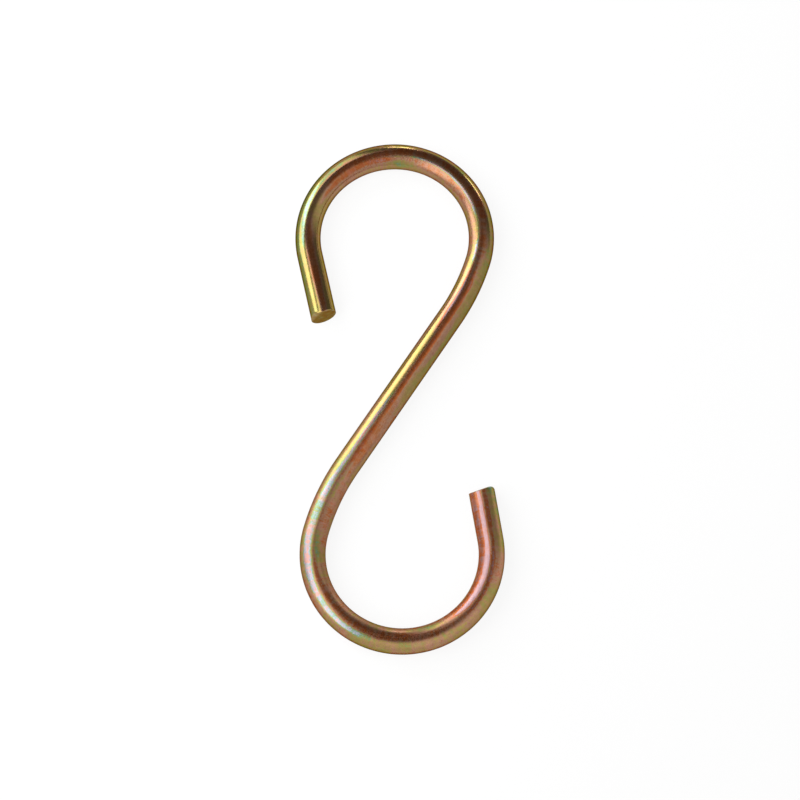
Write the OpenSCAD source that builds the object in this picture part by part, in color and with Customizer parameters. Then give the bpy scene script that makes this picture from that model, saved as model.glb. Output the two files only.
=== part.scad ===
// S hook: one length of round wire, bent in one plane into two open hooks that face
// opposite ways, with its ends left as the shear cut them.
// It lies flat, as it comes to rest: its plane is level and its straight stretches touch
// Z = 0. The long axis runs along Y, and the middle of the outline is at X = Y = 0.
// Each half is made outward from the middle of the shank: the straight shank, a gentle
// run-out, the round bend of the hook, and a straight tip.

/* [Wire] */
// Diameter of the wire
wire_d = 5; // [3:0.25:7]
// Diameter that the wire loses where it is bent round
bend_thinning = 0.05; // [0.04:0.01:0.15]

/* [Shank] */
// Length of the straight shank between the two run-outs
shank_len = 36; // [26:0.5:60]
// Lean of the shank away from the long axis, in degrees
shank_lean = 33.5; // [25:0.5:42]
// Centreline radius of the run-outs that join the shank to the bends
run_out_r = 45; // [30:1:70]

/* [Upper hook] */
// Inner diameter of the bend
upper_inner_d = 29; // [22:0.5:36]
// Angle that the bend turns through, in degrees
upper_turn = 210; // [200:1:220]
// Angle that the run-out turns through, in degrees
upper_run_out = 16; // [8:0.5:22]
// Length of the straight tip, along its centreline
upper_tip_len = 13; // [6:0.5:18]
// Side that the shear came from, in degrees up from the outer side of the hook
upper_cut_side = 40; // [0:5:60]
// Slope of the sheared face, which leaves that side longer, in degrees
upper_cut_slope = 3; // [0:1:15]
// Lean of the sheared face across that slope, in degrees
upper_cut_lean = 9; // [0:1:18]

/* [Lower hook] */
// Inner diameter of the bend
lower_inner_d = 29; // [22:0.5:36]
// Angle that the bend turns through, in degrees
lower_turn = 205; // [200:1:220]
// Angle that the run-out turns through, in degrees
lower_run_out = 18; // [8:0.5:22]
// Length of the straight tip, along its centreline
lower_tip_len = 10; // [6:0.5:18]
// Side that the shear came from, in degrees up from the outer side of the hook
lower_cut_side = 0; // [0:5:60]
// Slope of the sheared face, which leaves that side longer, in degrees
lower_cut_slope = 10; // [0:1:15]
// Lean of the sheared face across that slope, in degrees
lower_cut_lean = 15; // [0:1:18]

/* [Sheared ends] */
// Radius of the edge that the shear rolled over
roll_r = 0.9; // [0.3:0.1:1.2]

/* [Hidden] */
$fn = 60;

zinc = "darkgoldenrod";

run_out_d = wire_d - bend_thinning / 2;
bend_d = wire_d - bend_thinning;
upper_r = (upper_inner_d + bend_d) / 2;
lower_r = (lower_inner_d + bend_d) / 2;

// Length by which a bent stretch reaches into the stretch at each of its ends
lap = 0.05;
// Number of chords in a rolled edge, and how far outside the wire its arc ends
roll_steps = 8;
roll_clear = 0.02;

// The two ways along the shank, in degrees from the X axis
shank_up = 90 - shank_lean;
shank_down = shank_up + 180;

// A unit vector at an angle from the X axis
function aim(angle) = [cos(angle), sin(angle)];

// Centre of a hook's bend, for a half that starts along the shank at the angle aim_a:
// the run-out turns left off the end of the shank, and the bend carries on inside it
function bend_centre(aim_a, bend_r, run_out) =
    aim(aim_a) * shank_len / 2
    + aim(aim_a + 90) * run_out_r
    - aim(aim_a + 90 + run_out) * (run_out_r - bend_r);

upper_c = bend_centre(shank_up, upper_r, upper_run_out);
lower_c = bend_centre(shank_down, lower_r, lower_run_out);

// Middle of the outline: each bend turns past the ends and the outer side of its half
outline_left = min(upper_c.x - upper_r, lower_c.x - lower_r);
outline_right = max(upper_c.x + upper_r, lower_c.x + lower_r);
outline_top = upper_c.y + upper_r;
outline_bottom = lower_c.y - lower_r;
outline_mid = [outline_left + outline_right, outline_top + outline_bottom] / 2;

// Every stretch of wire below starts at the origin and runs along +X, with the inside of
// its hook on the +Y side, and its children start where it ends.

// A straight stretch
module straight(length) {
    rotate([0, 90, 0]) cylinder(d = wire_d, h = length);
    translate([length, 0, 0]) children();
}

// A stretch bent towards +Y, round a given centreline radius
module bend(radius, turn, d) {
    lap_turn = lap / radius * 180 / PI;
    translate([0, radius, 0]) {
        rotate([0, 0, -90 - lap_turn])
            rotate_extrude(angle = turn + 2 * lap_turn) translate([radius, 0]) circle(d = d);
        rotate([0, 0, turn]) translate([0, -radius, 0]) children();
    }
}

// Outline of what the shear leaves, seen across its cut. The cut crosses y = 0 at the
// origin and slopes so that the -Y side, where the shear came in, is longer. The edge
// there is rolled over: its arc meets the cut smoothly and ends just outside the wire.
module sheared_outline(back, slope) {
    side = 2 * wire_d;
    roll_y = roll_r - wire_d / 2 - roll_clear;
    roll_x = -(roll_r + roll_y * sin(slope)) / cos(slope);
    roll_turn = 90 + slope;
    arc = [for (i = [0:roll_steps])
               [roll_x, roll_y] + roll_r * aim(roll_turn * i / roll_steps - 90)];
    polygon(concat([[-back, -side], [roll_x, -side]], arc,
                   [[-side * tan(slope), side], [-back, side]]));
}

// A straight tip, sheared off where its centreline reaches the length
module tip(length, cut_side, slope, lean) {
    back = 2 * length;
    depth = 4 * wire_d;
    intersection() {
        rotate([0, 90, 0]) cylinder(d = wire_d, h = length + wire_d);
        translate([length, 0, 0]) rotate([-cut_side, 0, 0]) rotate([0, -lean, 0])
            translate([0, 0, -depth / 2]) linear_extrude(depth) sheared_outline(back, slope);
    }
}

// Half of the hook beyond the straight shank
module half_hook(bend_r, turn, run_out, tip_len, cut_side, slope, lean) {
    translate([shank_len / 2, 0, 0])
        bend(run_out_r, run_out, run_out_d)
            bend(bend_r, turn, bend_d)
                tip(tip_len, cut_side, slope, lean);
}

// The bent wire
module s_hook() {
    color(zinc) translate([-outline_mid.x, -outline_mid.y, wire_d / 2]) {
        rotate([0, 0, shank_up]) {
            translate([-shank_len / 2, 0, 0]) straight(shank_len);
            half_hook(upper_r, upper_turn, upper_run_out, upper_tip_len,
                      upper_cut_side, upper_cut_slope, upper_cut_lean);
        }
        rotate([0, 0, shank_down])
            half_hook(lower_r, lower_turn, lower_run_out, lower_tip_len,
                      lower_cut_side, lower_cut_slope, lower_cut_lean);
    }
}

s_hook();
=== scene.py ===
"""Looks of the S hook: yellow zinc on bent wire, lying on a white floor in soft studio light."""

import math

import bpy
import numpy as np
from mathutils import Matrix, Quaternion, Vector


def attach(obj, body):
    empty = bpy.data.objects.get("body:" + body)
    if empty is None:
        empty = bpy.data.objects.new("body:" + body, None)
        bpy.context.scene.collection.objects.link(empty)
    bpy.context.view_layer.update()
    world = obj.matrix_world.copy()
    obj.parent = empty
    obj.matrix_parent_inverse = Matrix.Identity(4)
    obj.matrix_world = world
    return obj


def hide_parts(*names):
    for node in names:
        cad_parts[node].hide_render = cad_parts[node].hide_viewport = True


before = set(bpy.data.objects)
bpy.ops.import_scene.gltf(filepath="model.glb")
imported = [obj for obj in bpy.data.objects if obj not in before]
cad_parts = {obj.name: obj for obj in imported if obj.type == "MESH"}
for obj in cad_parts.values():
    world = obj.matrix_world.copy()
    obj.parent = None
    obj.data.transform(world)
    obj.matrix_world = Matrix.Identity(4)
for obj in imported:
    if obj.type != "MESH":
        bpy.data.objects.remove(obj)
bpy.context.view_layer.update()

# Lengths are in millimetres until a mesh is made, and angles in degrees.
MM = 0.001

# The wire and its stretches, as the part's source has them.
WIRE_R = 2.5
BEND_THINNING = 0.05
SHANK_LEN = 36
SHANK_LEAN = 33.5
RUN_OUT_R = 45
BEND_INNER_R = 14.5
ROLL_R = 0.9
ROLL_CLEAR = 0.02
UPPER = {"aim": 90 - SHANK_LEAN, "run_out": 16, "turn": 210, "tip": 13,
         "cut_side": 40, "slope": 3, "lean": 9}
LOWER = {"aim": 270 - SHANK_LEAN, "run_out": 18, "turn": 205, "tip": 10,
         "cut_side": 0, "slope": 10, "lean": 15}
RUN_OUT_WIRE_R = WIRE_R - BEND_THINNING / 4
BEND_WIRE_R = WIRE_R - BEND_THINNING / 2
BEND_R = BEND_INNER_R + BEND_WIRE_R

# How finely the wire's surface is divided: points in a ring, the spacing of the rings, and the
# length over which the bend's thinning eases in.
SIDES = 96
RING_STEP = 0.3
THINNING_EASE = 2.0
# The last stretch of a tip has rings that follow the slope of the cut more and more. They end
# just short of the sheared face, so that its rim is broken, and the face's own rings are
# closer near the rim.
TIP_ZONE = 3.0
TIP_RINGS = 14
RIM_BREAK = 0.07
FACE_FINE_DEPTH = 1.1
FACE_FINE_RINGS = 16
FACE_FINE_GROWTH = 1.5
FACE_COARSE_RINGS = 10


def aim(angle):
    """A unit vector in the level plane, at an angle from the X axis."""
    turn = np.radians(angle)
    return np.stack([np.cos(turn), np.sin(turn)], -1)


def bend_centre(half):
    """Centre of a half's round bend, measured from the middle of the shank."""
    start = half["aim"]
    return (
        aim(start) * SHANK_LEN / 2
        + aim(start + 90) * RUN_OUT_R
        - aim(start + 90 + half["run_out"]) * (RUN_OUT_R - BEND_R)
    )


def half_centreline(half):
    """Rows of x, y, heading, distance and the wire's radius, from the shank's middle outward."""
    stretches = [
        (SHANK_LEN / 2, 0, WIRE_R),
        (math.radians(half["run_out"]) * RUN_OUT_R, half["run_out"], RUN_OUT_WIRE_R),
        (math.radians(half["turn"]) * BEND_R, half["turn"], BEND_WIRE_R),
        (half["tip"] - TIP_ZONE, 0, WIRE_R),
    ]
    point, heading, travelled = np.zeros(2), half["aim"], 0.0
    rows = []
    for length, turn, radius in stretches:
        count = math.ceil(length / RING_STEP)
        share = np.arange(count) / count
        headings = heading + turn * share
        if turn:
            bend_r = length / math.radians(turn)
            centre = point + bend_r * aim(heading + 90)
            places = centre - bend_r * aim(headings + 90)
            point = centre - bend_r * aim(heading + turn + 90)
        else:
            places = point + np.outer(share * length, aim(heading))
            point = point + length * aim(heading)
        rows.append(np.column_stack(
            [places, headings, travelled + share * length, np.full(count, radius)]))
        heading += turn
        travelled += length
    rows.append(np.array([[*point, heading, travelled, WIRE_R]]))
    return np.concatenate(rows)


def cut_reach(inner, up, half):
    """How far beyond a tip's nominal end its sheared face lies, at a place on the section."""
    side, slope, lean = (math.radians(half[key]) for key in ("cut_side", "slope", "lean"))
    across = inner * math.cos(side) - up * math.sin(side)
    along_cut = inner * math.sin(side) + up * math.cos(side)
    # The edge where the shear came in is an arc round (roll_x, roll_y).
    roll_y = ROLL_R - WIRE_R - ROLL_CLEAR
    roll_x = -(ROLL_R + roll_y * math.sin(slope)) / math.cos(slope)
    arc = roll_x + np.sqrt(np.maximum(ROLL_R**2 - (across - roll_y) ** 2, 0))
    flat = -across * math.tan(slope)
    rolled = across < roll_y + ROLL_R * math.sin(slope)
    return (np.where(rolled, arc, flat) - along_cut * math.sin(lean)) / math.cos(lean)


def ring(angles, radius):
    """A section's places, as (inner side, up) columns."""
    return np.column_stack([radius * np.cos(angles), radius * np.sin(angles)])


def tip_rings(half, angles):
    """Rings of a tip's last stretch and of its face, outward. Their columns are the reach beyond
    the tip's nominal end, the place to the inner side and up, and whether it is cut."""
    rim = ring(angles, WIRE_R)
    rim_reach = cut_reach(rim[:, 0], rim[:, 1], half) - RIM_BREAK
    rings = []
    for step in range(1, TIP_RINGS + 1):
        share = step / TIP_RINGS
        reach = -TIP_ZONE + (TIP_ZONE + rim_reach) * share
        rings.append(np.column_stack([reach, rim, np.zeros(len(rim))]))
    fine = FACE_FINE_DEPTH * np.linspace(0, 1, FACE_FINE_RINGS) ** FACE_FINE_GROWTH
    coarse = np.linspace(FACE_FINE_DEPTH, WIRE_R, FACE_COARSE_RINGS + 1)[1:-1]
    coarse *= 1 - RIM_BREAK / WIRE_R
    for depth in RIM_BREAK + np.concatenate([fine, coarse]):
        place = ring(angles, WIRE_R - depth)
        reach = cut_reach(place[:, 0], place[:, 1], half)
        rings.append(np.column_stack([reach, place, np.ones(len(place))]))
    return rings


def half_rings(half, outward, middle):
    """Rings of a half, from the shank's middle outward: place in space, place on the straight
    wire, and whether the point is on a sheared face."""
    angles = 2 * np.pi * np.arange(SIDES) / SIDES
    line = half_centreline(half)
    ease = np.exp(-0.5 * ((line[:, 3:4] - line[:, 3]) / THINNING_EASE) ** 2)
    radii = (ease @ line[:, 4]) / ease.sum(1)
    none = np.zeros(SIDES)
    sections = [(row, none, ring(angles, radius), none) for row, radius in zip(line, radii)]
    sections += [(line[-1], rows[:, 0] + TIP_ZONE, rows[:, 1:3], rows[:, 3])
                 for rows in tip_rings(half, angles)]
    rings = []
    for (x, y, heading, travelled, _), reach, section, cut in sections:
        level = np.array([x, y]) - middle + np.outer(reach, aim(heading))
        level = level + np.outer(section[:, 0], aim(heading + 90))
        space = np.column_stack([level, section[:, 1] + WIRE_R])
        straight = np.column_stack(
            [outward * (travelled + reach), outward * section[:, 0], section[:, 1]])
        rings.append((space, straight, cut))
    return rings


def wire_rings():
    """Rings of the whole wire, from the lower tip's face to the upper one's."""
    middle = (bend_centre(UPPER) + bend_centre(LOWER)) / 2
    # Seen from the upper half, the lower one runs backwards and its inner side is the outer. The
    # ring in the middle of the shank is the upper half's.
    mirrored = (SIDES // 2 - np.arange(SIDES)) % SIDES
    lower = [tuple(part[mirrored] for part in made)
             for made in half_rings(LOWER, -1, middle)[:0:-1]]
    return lower + half_rings(UPPER, 1, middle)


# A film so thin that the finish stays pink, whatever the patterns add to it.
BELOW_PINK = -0.1

# Places where the film differs from what is round it: how far along the wire from the middle
# of the shank, how far round it (90 is on top, and 0 is level, on the inner side of the upper
# hook and on the outer side of the lower one), half its length, half its breadth, and the film
# there, as a place in FILM_COLOURS. Later ones lie over earlier ones.
FILM_PATCHES = [
    # Tip of the lower hook
    (-80, 36, 16, 28, 0.42),
    (-96, 144, 10, 20, 0.10),
    (-84, 137, 9, 16, 0.10),
    (-92, 110, 18, 10, BELOW_PINK),
    (-76, 106, 8, 5, 0.97),
    (-86, 88, 1.2, 7, 0.66),
    (-97, 84, 7, 9, 0.16),
    (-84, 83, 7, 8, 0.12),
    (-95, 44, 6, 16, 0.42),
    (-88, 36, 4, 18, 0.40),
    (-103.6, 46, 1.6, 24, 0.70),
    (-96, 34, 6, 4, 0.58),
    # Bend of the lower hook
    (-82, 111, 8, 12, BELOW_PINK),
    (-71, 110, 3.2, 13, 0.46),
    (-68, 124, 3.5, 16, 0.53),
    (-61, 94, 13, 18, 0.22),
    (-68, 60, 14, 11, 0.46),
    (-56, 66, 2.5, 12, 0.60),
    (-52, 98, 6, 9, 0.18),
    (-42, 99, 6, 8, 0.17),
    (-46, 34, 5, 12, 0.33),
    (-36, 40, 10, 8, 0.46),
    (-36, 112, 3, 12, 0.53),
    (-30, 131, 3, 18, 0.26),
    (-49, 65, 7, 11, 0.76),
    (-38, 65, 10, 16, 0.82),
    (-27, 71, 8, 17, 0.78),
    # Shank
    (-20, 110, 4.0, 10, 0.50),
    (-21, 72, 4.0, 15, 0.82),
    (-20, 56, 4.5, 10, 0.52),
    (-12, 124, 8, 14, 0.25),
    (-12, 102, 8, 9, 0.16),
    (-2, 102, 7, 7, 0.18),
    (-14, 66, 6, 8, 0.50),
    (-10, 80, 8, 7, 0.96),
    (-3, 58, 8, 13, 0.45),
    (8, 75, 9, 8, 0.46),
    (9, 99, 15, 11, 0.16),
    (10, 58, 6, 13, 0.47),
    (21, 60, 4.5, 12, 0.34),
    (20, 140, 22, 24, 0.50),
    (17, 128, 1.2, 6, 0.80),
    (12, 124, 7, 14, 0.33),
    (21, 98, 7, 10, 0.15),
    (21, 77, 7, 8, 0.02),
    (30, 54, 4, 9, 0.50),
    # Bend of the upper hook
    (52, 98, 19, 16, 0.22),
    (34, 72, 5, 6, 0.92),
    (38, 68, 4, 8, 0.47),
    (45, 74, 5, 6, 0.92),
    (53, 77, 5, 5, 0.92),
    (42, 112, 3, 12, 0.20),
    (48, 128, 6, 10, 0.48),
    (62, 126, 8, 9, 0.48),
    (60.5, 38, 2.5, 22, 0.58),
    (70, 82, 8, 9, 0.16),
    (74, 38, 8, 18, 0.34),
    (71, 60, 10, 12, 0.19),
    (48, 50, 10, 18, 0.29),
    # Tip of the upper hook
    (68, 114, 6, 13, 0.47),
    (75, 116, 4, 10, 0.58),
    (85, 114, 9, 10, 0.70),
    (90, 145, 18, 20, 0.57),
    (102, 122, 6, 18, 0.52),
    (97, 84, 10, 15, 0.22),
    (100, 112, 6, 9, 0.50),
    (92, 42, 12, 18, 0.46),
]
# The underside carries patches of the same kind, scattered: their number, the seed, and the
# lowest and highest value in each of the five columns.
UNDERSIDE_PATCHES = 70
UNDERSIDE_SEED = 5
UNDERSIDE_RANGES = [(-104, 104), (190, 350), (0.7, 8), (7, 22), (0.02, 0.95)]
# Places where the finish is darker or, above 1, lighter, in the same columns. Some are stains in
# the deposit; most are painted light: painted shade that deepens the dark reflections along the
# wire, and painted highlights where the lamps' reflections fall. The smallest bright ones are
# painted glints.
STAINS_AND_PAINTED_LIGHT = [
    # Painted shade over the dark reflection along the lower hook.
    (-96, 84, 8, 11, 0.85),
    (-80, 88, 8, 9, 0.82),
    # A painted highlight on the outer side of the lower bend.
    (-68, 58, 14, 12, 1.2),
    # Painted glints at the bottom of the lower bend.
    (-63, 108, 1.0, 4.5, 1.5),
    (-70, 112, 1.8, 6, 1.5),
    (-93, 36, 10, 22, 1.2),
    # Painted shade over the dark reflection in the bottom of the lower bend.
    (-60, 99, 14, 18, 0.68),
    (-21, 75, 2.6, 11, 0.78),
    (-90, 111, 16, 12, 0.95),
    (-91, 136, 18, 14, 0.70),
    # A painted glint on the lower bend.
    (-41, 117, 2.6, 7, 1.5),
    (-36, 70, 17, 11, 1.02),
    (-34, 94, 14, 5, 0.82),
    # A painted highlight on the copper stripe of the shank.
    (8, 98, 22, 11, 1.3),
    (18, 140, 26, 26, 0.74),
    (48, 58, 15, 16, 0.75),
    (21, 77, 7, 8, 0.85),
    # Painted shade over the dark reflection along the top of the upper hook, out to its tip.
    (54, 98, 16, 17, 0.76),
    (66, 118, 6, 13, 0.76),
    (70, 52, 13, 20, 0.82),
    (84, 90, 22, 14, 0.85),
    (92, 99, 18, 6, 0.75),
    (99, 86, 9, 15, 0.8),
    (88, 142, 18, 16, 0.82),
    (82, 113, 9, 9, 0.85),
]
# Where a patch ends, as a multiple of its half size, and how far within that it begins to fade.
FILM_EDGE = (1.5, 0.9)
STAIN_AND_PAINTED_LIGHT_EDGE = (1.6, 1.2)

# Slow waves that differ along the wire and round it: how high they are, then their phase per
# millimetre along, per degree round and at the start, in radians. The first two sets make the
# edges of the patches uneven, in millimetres and in degrees, and the third one changes the film.
WANDER_ALONG = [(0.5, 0.7, 0.11, 0), (0.3, 0, 0.23, 0)]
WANDER_ROUND = [(1.2, 0.43, 0, 0), (0.8, 1.7, 0, 1.3)]
FILM_WAVES = [(0.05, 0.31, 0, 0.8), (0.03, 0, math.radians(2), 0)]
FILM_BASE = 0.37

# How far the films change within a patch: less on the shank than where the wire was worked.
SHANK_END, WORKED_FROM = 16, 32
SHANK_CHANGE = 0.4
# On the lower hook they change more.
LOWER_CHANGE = 1.15
# The lower hook is duller than the upper one, and the finish changes over this stretch. The
# inner side of each bend, where the metal was pressed together, is duller too.
BRIGHT_FROM, DULL_UNTIL = 26, -34
DULLER_BY = 0.13
INSIDE_DULLER_BY = 0.16
# The tip of the upper hook keeps more of the drawn wire's gloss.
GLOSSY_FROM, GLOSSIEST_FROM = 66, 80
GLOSSIER_BY = 0.03
GLOSSY_CHANGE = 0.4
# A stretch at the foot of the shank is worn matt, and the tip of the lower hook is in part.
WORN_AT, WORN_REACH = -30, 19
WORN_DULLER_BY = 0.08
WORN_CHANGE = 0.4
LOWER_TIP_FROM, LOWER_TIP_FULL = -70, -82
LOWER_TIP_DULLER_BY = 0.04
# The bottom of the lower bend, which a load rubs, keeps its gloss.
RUBBED_AT, RUBBED_REACH = -62, 13
RUBBED_GLOSSIER_BY = 0.08


def waves(rows, along, round_it):
    """The sum of some waves, at places on the wire."""
    return sum(height * np.sin(per_mm * along + per_degree * round_it + start)
               for height, per_mm, per_degree, start in rows)


def share_from(value, first, last):
    """A share that goes from 0 at a first value to 1 at a last one."""
    return np.clip((value - first) / (last - first), 0, 1)


def share_near(value, middle, reach):
    """A share that is 1 in the middle and fades away on both sides."""
    return np.exp(-((value - middle) / reach) ** 2)


def blend(field, places, patches, reach, softness):
    """A field with patches laid over it, each solid in its middle and soft at its edge."""
    along, round_it = places
    for middle, direction, half_length, half_breadth, value in patches:
        apart = (round_it - direction + 180) % 360 - 180
        distance = np.hypot((along - middle) / half_length, apart / half_breadth)
        share = share_from(distance, reach, reach - softness)
        field = field + (value - field) * share * share * (3 - 2 * share)
    return field


def underside_patches():
    """Patches of film scattered over the underside."""
    scatter = np.random.default_rng(UNDERSIDE_SEED)
    columns = [scatter.uniform(low, high, UNDERSIDE_PATCHES) for low, high in UNDERSIDE_RANGES]
    return np.column_stack(columns).tolist()


def finish_on(straight):
    """The film's thickness, its darkness from stains and from painted shade, highlights and
    glints, its variation and dullness, at places on the wire.
    """
    along = straight[:, 0]
    round_it = np.degrees(np.arctan2(straight[:, 2], straight[:, 1]))
    round_it = np.where(round_it < -90, round_it + 360, round_it)
    places = (along + waves(WANDER_ALONG, along, round_it),
              round_it + waves(WANDER_ROUND, along, round_it))
    film = FILM_BASE + waves(FILM_WAVES, along, round_it)
    film = blend(film, places, underside_patches() + FILM_PATCHES, *FILM_EDGE)
    # Stains, with painted shade and painted highlights and glints that follow the reflections.
    stain_and_painted_light = blend(np.ones(len(along)), places, STAINS_AND_PAINTED_LIGHT, *STAIN_AND_PAINTED_LIGHT_EDGE)

    worked = share_from(np.abs(along), SHANK_END, WORKED_FROM)
    lower = share_from(along, BRIGHT_FROM, DULL_UNTIL)
    lower_tip = share_from(along, LOWER_TIP_FROM, LOWER_TIP_FULL)
    glossy = share_from(along, GLOSSY_FROM, GLOSSIEST_FROM)
    worn = share_near(along, WORN_AT, WORN_REACH)
    rubbed = share_near(along, RUBBED_AT, RUBBED_REACH)
    inside = np.clip(np.sign(along) * np.cos(np.radians(round_it)), 0, 1) * worked

    change = (SHANK_CHANGE + (1 - SHANK_CHANGE) * worked) * (1 + (LOWER_CHANGE - 1) * lower)
    change = change * (1 - (1 - GLOSSY_CHANGE) * glossy) + WORN_CHANGE * worn
    dull = DULLER_BY * lower + INSIDE_DULLER_BY * inside * (1 - glossy)
    dull = dull + WORN_DULLER_BY * worn + LOWER_TIP_DULLER_BY * lower_tip
    dull = dull - GLOSSIER_BY * glossy - RUBBED_GLOSSIER_BY * rubbed
    return {"film": film, "stain_and_painted_light": stain_and_painted_light, "change": change, "dull": dull}


def wire_mesh(name):
    """The wire as one closed mesh. Its attributes are each point's place on the straight wire,
    its finish, and whether it lies on a sheared face."""
    rings = wire_rings()
    # After the rings come the middles of the two faces.
    space, straight, cut = (
        np.concatenate([*parts, [parts[0].mean(0), parts[-1].mean(0)]]) for parts in zip(*rings))

    step = np.arange(SIDES)
    after = np.roll(step, -1)
    top = (len(rings) - 1) * SIDES
    first, last = top + SIDES, top + SIDES + 1
    faces = []
    for low in range(0, top, SIDES):
        high = low + SIDES
        faces += np.column_stack([low + step, high + step, high + after, low + after]).tolist()
    for a, b in zip(step.tolist(), after.tolist()):
        faces += [[first, a, b], [last, top + b, top + a]]

    mesh = bpy.data.meshes.new(name)
    mesh.from_pydata((space * MM).tolist(), [], faces)
    mesh.polygons.foreach_set("use_smooth", np.ones(len(faces), bool))
    place = mesh.attributes.new("place_on_wire", "FLOAT_VECTOR", "POINT")
    place.data.foreach_set("vector", straight.astype(np.float32).ravel())
    for key, values in {**finish_on(straight), "sheared": cut}.items():
        attribute = mesh.attributes.new(key, "FLOAT", "POINT")
        attribute.data.foreach_set("value", values.astype(np.float32))
    mesh.update()
    return mesh


def rgba(colour):
    """Scene-linear values of a colour written as 0 to 255 on screen, and a full alpha."""
    shares = [part / 255 for part in colour]
    return [c / 12.92 if c <= 0.04045 else ((c + 0.055) / 1.055) ** 2.4 for c in shares] + [1]


class Nodes:
    """Shorthand for building a node tree."""

    def __init__(self, tree):
        self.tree = tree

    def add(self, kind, inputs=None, **settings):
        """A node with its settings, and with a value or a link at each of the inputs given."""
        node = self.tree.nodes.new(kind)
        for key, value in settings.items():
            setattr(node, key, value)
        for key, value in (inputs or {}).items():
            if isinstance(value, bpy.types.NodeSocket):
                self.tree.links.new(value, node.inputs[key])
            else:
                node.inputs[key].default_value = value
        return node

    def math(self, operation, *values):
        """The result of one operation."""
        return self.add("ShaderNodeMath", dict(enumerate(values)), operation=operation).outputs[0]

    def noise(self, place, scale, detail, roughness):
        """A pattern round NOISE_MIDDLE, with its own scale along each axis of the place."""
        scaled = self.add("ShaderNodeVectorMath", {0: place, 1: scale}, operation="MULTIPLY")
        node = self.add("ShaderNodeTexNoise", {
            "Vector": scaled.outputs[0], "Scale": 1, "Detail": detail, "Roughness": roughness})
        return node.outputs["Fac"]

    def tinted(self, colour, level):
        """A colour made darker or lighter by a level round 1."""
        node = self.add("ShaderNodeVectorMath", {0: colour, "Scale": level}, operation="SCALE")
        return node.outputs[0]

    def mixed(self, share, first, second):
        """A mix of two colours. The colour inputs of the node are its seventh and eighth."""
        node = self.add("ShaderNodeMix", {0: share, 6: first, 7: second}, data_type="RGBA")
        return node.outputs[2]

    def step(self, value, low, high, first, last):
        """A smooth step from a first to a last level, as a value goes from low to high."""
        node = self.add("ShaderNodeMapRange", {
            "Value": value, "From Min": low, "From Max": high, "To Min": first, "To Max": last},
            interpolation_type="SMOOTHSTEP")
        return node.outputs[0]

    def ramp(self, value, stops):
        """The colour at a place on a colour ramp. New stops start halfway, then get theirs."""
        node = self.add("ShaderNodeValToRGB", {"Fac": value})
        elements = node.color_ramp.elements
        while len(elements) < len(stops):
            elements.new(0.5)
        for element, (place, colour) in zip(elements, stops):
            element.position = place
            element.color = rgba(colour)
        return node.outputs["Color"]


# Colours of the passivated zinc as its film thickens.
FILM_COLOURS = [
    (0.00, (158, 129, 131)),
    (0.08, (164, 112, 98)),
    (0.16, (170, 88, 40)),
    (0.25, (166, 108, 70)),
    (0.34, (164, 124, 102)),
    (0.43, (158, 130, 80)),
    (0.52, (146, 135, 76)),
    (0.61, (126, 139, 86)),
    (0.69, (116, 142, 120)),
    (0.78, (134, 142, 150)),
    (0.87, (150, 137, 144)),
    (0.96, (168, 126, 114)),
]
# Colours of a sheared face, from its bare dips to its filmed high spots.
SHEARED_COLOURS = [
    (0.28, (128, 94, 60)),
    (0.46, (150, 114, 74)),
    (0.58, (152, 138, 84)),
    (0.75, (158, 146, 138)),
]
# Tint of the reflections at grazing angles.
EDGE_TINT = (128, 122, 104)
# Patterns of noise: scale along the wire and in the two directions across it, detail and
# roughness.
NOISE_MIDDLE = 0.5
PATTERNS = {
    "clouds": ((0.22, 0.35, 0.35), 2, 0.5),
    "bands": ((1.5, 0.26, 0.26), 2, 0.6),
    "speckle": ((3.2, 3.2, 3.2), 2, 0.65),
    "streaks": ((0.25, 1.5, 1.5), 3, 0.6),
    "stripes": ((0.85, 0.14, 0.14), 3, 0.6),
    "grain": ((1.1, 1.6, 1.6), 4, 0.7),
    "torn": ((0.5, 0.9, 4.5), 3, 0.55),
}
# How much each of these changes the film.
FILM_CHANGES = {"clouds": 0.26, "bands": 0.36, "speckle": 0.28, "streaks": 0.26}
# A thin second deposit, which lies over the film in soft stripes: its colour, the levels of the
# stripes' noise where it begins and is full, and how much of it there is then.
BLUSH = (176, 124, 106)
BLUSH_FROM, BLUSH_FULL = 0.46, 0.68
BLUSH_SHARE = 0.45
# Brightness of the finish, before its stains and its painted shade, highlights and glints.
LEVEL_BASE = 0.51
LEVEL_BY_GRAIN = 0.5
LEVEL_BY_SPECKLE = 0.44
# Roughness of the glossiest part, and what is added to it.
ROUGHNESS = 0.13
ROUGHER_BY_SPECKLE = 0.14
SHEARED_ROUGHER_BY = 0.16
# Relief: its depth in full, the share of it that is used, and the height of the bands and of
# the torn lines of a sheared face against the speckle's 1.
RELIEF_DEPTH = 0.02
RELIEF_STRENGTH = 0.13
BANDS_HEIGHT = 0.8
TORN_HEIGHT = 2


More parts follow.
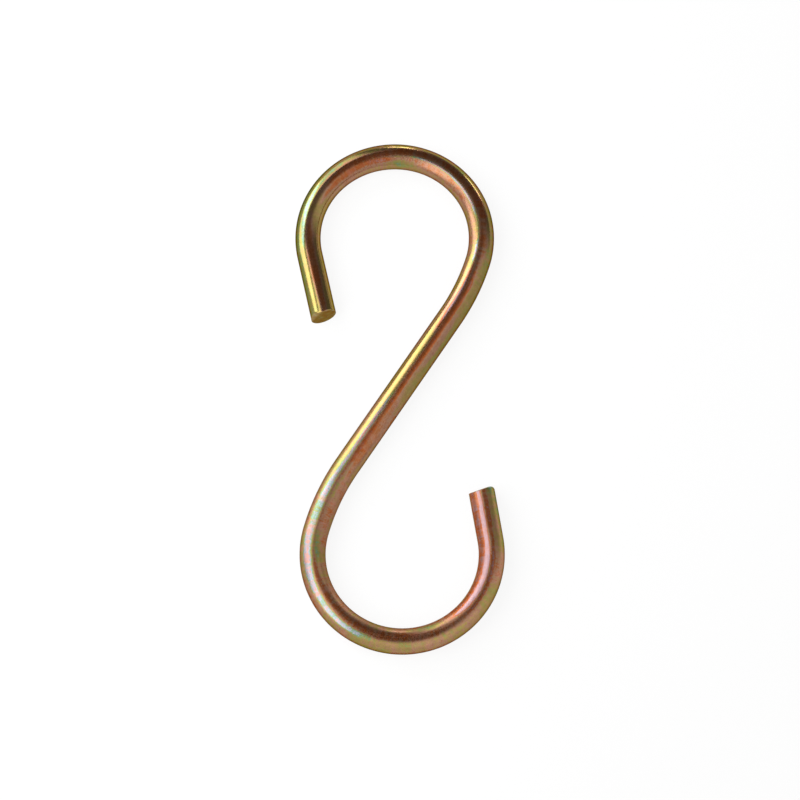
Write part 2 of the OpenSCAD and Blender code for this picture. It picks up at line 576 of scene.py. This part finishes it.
def zinc():
    """Yellow zinc: an iridescent film over drawn steel wire, rougher where it was sheared."""
    made = bpy.data.materials.new("yellow_zinc")
    made.use_nodes = True
    tree = made.node_tree
    n = Nodes(tree)
    shader = tree.nodes["Principled BSDF"]
    place = n.add("ShaderNodeAttribute", attribute_name="place_on_wire").outputs["Vector"]
    film, stain_and_painted_light, change, dull, sheared = (
        n.add("ShaderNodeAttribute", attribute_name=name).outputs["Fac"]
        for name in ("film", "stain_and_painted_light", "change", "dull", "sheared"))
    pattern = {name: n.noise(place, *row) for name, row in PATTERNS.items()}

    for name, amount in FILM_CHANGES.items():
        shift = n.math("MULTIPLY", n.math("SUBTRACT", pattern[name], NOISE_MIDDLE), amount)
        film = n.math("MULTIPLY_ADD", shift, change, film)
    colour = n.ramp(film, FILM_COLOURS)

    blush = n.step(pattern["stripes"], BLUSH_FROM, BLUSH_FULL, 0, BLUSH_SHARE)
    colour = n.mixed(n.math("MULTIPLY", blush, change), colour, rgba(BLUSH))

    level = n.math("MULTIPLY_ADD", pattern["grain"], LEVEL_BY_GRAIN, LEVEL_BASE)
    level = n.math("MULTIPLY_ADD", pattern["speckle"], LEVEL_BY_SPECKLE, level)
    # Here the stains and the painted shade, highlights and glints make the colour darker or
    # lighter.
    colour = n.tinted(colour, n.math("MULTIPLY", level, stain_and_painted_light))

    colour = n.mixed(sheared, colour, n.ramp(pattern["torn"], SHEARED_COLOURS))
    tree.links.new(colour, shader.inputs["Base Color"])

    rough = n.math("ADD", dull, ROUGHNESS)
    rough = n.math("MULTIPLY_ADD", pattern["speckle"], ROUGHER_BY_SPECKLE, rough)
    rough = n.math("MULTIPLY_ADD", sheared, SHEARED_ROUGHER_BY, rough)
    tree.links.new(rough, shader.inputs["Roughness"])
    shader.inputs["Metallic"].default_value = 1
    shader.inputs["Specular Tint"].default_value = rgba(EDGE_TINT)

    torn_height = n.math("MULTIPLY", sheared, TORN_HEIGHT)
    relief = n.math("MULTIPLY_ADD", pattern["torn"], torn_height, pattern["speckle"])
    relief = n.math("MULTIPLY_ADD", pattern["bands"], BANDS_HEIGHT, relief)
    bump = n.add("ShaderNodeBump", {
        "Height": relief, "Strength": RELIEF_STRENGTH, "Distance": RELIEF_DEPTH * MM})
    tree.links.new(bump.outputs["Normal"], shader.inputs["Normal"])
    return made


def hook():
    """The wire in its finish, in place of the plain node."""
    made = bpy.data.objects.new("zinc_wire_hook", wire_mesh("zinc_wire_hook"))
    bpy.context.scene.collection.objects.link(made)
    made.data.materials.append(zinc())
    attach(made, "root")
    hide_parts("s_hook")


# The photograph's view: the camera looks down, tilted towards the lower hook. The picture's
# width in pixels and a pixel's size at the hook give the width that is seen.
CAMERA_TILT = 17.18
CAMERA_DISTANCE = 577
LOOK_AT = (0.31, -1.38, WIRE_R)
PICTURE_WIDTH = 800
PIXEL = 0.1925
SENSOR = 36
# Nearest and furthest distance that is drawn.
NEAR, FAR = 10, 20000


def camera():
    """The camera of the photograph's view."""
    data = bpy.data.cameras.new("camera")
    data.sensor_width = SENSOR
    data.lens = SENSOR * CAMERA_DISTANCE / (PICTURE_WIDTH * PIXEL)
    data.clip_start, data.clip_end = NEAR * MM, FAR * MM
    made = bpy.data.objects.new("camera", data)
    tilt = math.radians(CAMERA_TILT)
    back = Vector((0, -math.sin(tilt), math.cos(tilt)))
    made.location = (Vector(LOOK_AT) + back * CAMERA_DISTANCE) * MM
    made.rotation_euler = (tilt, 0, 0)
    bpy.context.scene.collection.objects.link(made)
    bpy.context.scene.camera = made


# Each lamp's middle, width, height, roll and radiance.
LAMPS = {
    "window": ((-179, 110, 91), 190, 146, -11, 3.5),
    "lamp_at_the_left": ((-97, -33, 126), 226, 96, -48, 2.6),
    "far_window": ((-274, 410, 270), 362, 430, 0, 2.1),
    "low_lamp_behind": ((20, 560, 95), 80, 60, 0, 14),
    "low_lamp_at_the_right": ((350, 430, 75), 110, 60, 0, 8),
}


def softbox(name, place, width, height, roll, radiance):
    """A lit panel that faces the hook, of a given radiance. It is not seen by the camera."""
    data = bpy.data.lights.new(name, "AREA")
    data.shape = "RECTANGLE"
    data.size, data.size_y = width * MM, height * MM
    data.energy = radiance * math.pi * data.size * data.size_y
    made = bpy.data.objects.new(name, data)
    made.location = Vector(place) * MM
    facing = Vector(place).to_track_quat("Z", "Y")
    made.rotation_mode = "QUATERNION"
    made.rotation_quaternion = facing @ Quaternion((0, 0, 1), math.radians(roll))
    made.visible_camera = False
    bpy.context.scene.collection.objects.link(made)


WHITE = (1, 1, 1, 1)
# Brightness of the room against the front's 1: behind, where a ray points further back than
# BACK_FROM, and overhead, where it rises between the two values of OVERHEAD. Below those of
# HORIZON the room is as bright as the front all round.
BACK_FROM = 0.46
BACK_LEVEL = 0.16
OVERHEAD = (0.86, 1.0)
OVERHEAD_LEVEL = 0.18
HORIZON = (0.06, 0.14)


def surroundings():
    """A room that is bright in front and level with the floor, and dim behind and above."""
    world = bpy.data.worlds.new("studio")
    bpy.context.scene.world = world
    world.use_nodes = True
    n = Nodes(world.node_tree)
    toward = n.add("ShaderNodeTexCoord").outputs["Generated"]
    split = n.add("ShaderNodeSeparateXYZ", {0: toward}).outputs
    level = n.step(split["Y"], 0, BACK_FROM, 1, BACK_LEVEL)
    overhead = n.step(split["Z"], *OVERHEAD, 0, 1)
    away = n.math("SUBTRACT", OVERHEAD_LEVEL, level)
    level = n.math("MULTIPLY_ADD", overhead, away, level)
    horizon = n.step(split["Z"], *HORIZON, 1, 0)
    level = n.math("MAXIMUM", level, horizon)
    background = world.node_tree.nodes["Background"]
    world.node_tree.links.new(level, background.inputs["Strength"])
    background.inputs["Color"].default_value = WHITE


# The floor is white paper that glows where it is seen, which leaves only a part of the shadow.
FLOOR_SIZE = 6000
PAPER = (0.9, 0.9, 0.9, 1)
GLOW_SHARE = 0.88


def floor():
    """A wide white floor."""
    half = FLOOR_SIZE / 2 * MM
    mesh = bpy.data.meshes.new("floor")
    corners = [(-half, -half, 0), (half, -half, 0), (half, half, 0), (-half, half, 0)]
    mesh.from_pydata(corners, [], [(0, 1, 2, 3)])
    made = bpy.data.objects.new("floor", mesh)
    bpy.context.scene.collection.objects.link(made)
    material = bpy.data.materials.new("white_floor")
    material.use_nodes = True
    tree = material.node_tree
    tree.nodes.clear()
    n = Nodes(tree)
    path = n.add("ShaderNodeLightPath").outputs
    seen = n.math("MAXIMUM", n.math("MAXIMUM", path["Is Camera Ray"], path["Is Glossy Ray"]),
                  path["Is Transmission Ray"])
    paper = n.add("ShaderNodeBsdfDiffuse", {"Color": PAPER})
    glow = n.add("ShaderNodeEmission", {"Color": WHITE, "Strength": 1})
    share = n.math("MULTIPLY", seen, GLOW_SHARE)
    mix = n.add("ShaderNodeMixShader", {0: share, 1: paper.outputs[0], 2: glow.outputs[0]})
    out = n.add("ShaderNodeOutputMaterial")
    tree.links.new(mix.outputs[0], out.inputs["Surface"])
    mesh.materials.append(material)


bpy.context.scene.view_settings.view_transform = "Standard"
hook()
camera()
for name, row in LAMPS.items():
    softbox(name, *row)
surroundings()
floor()
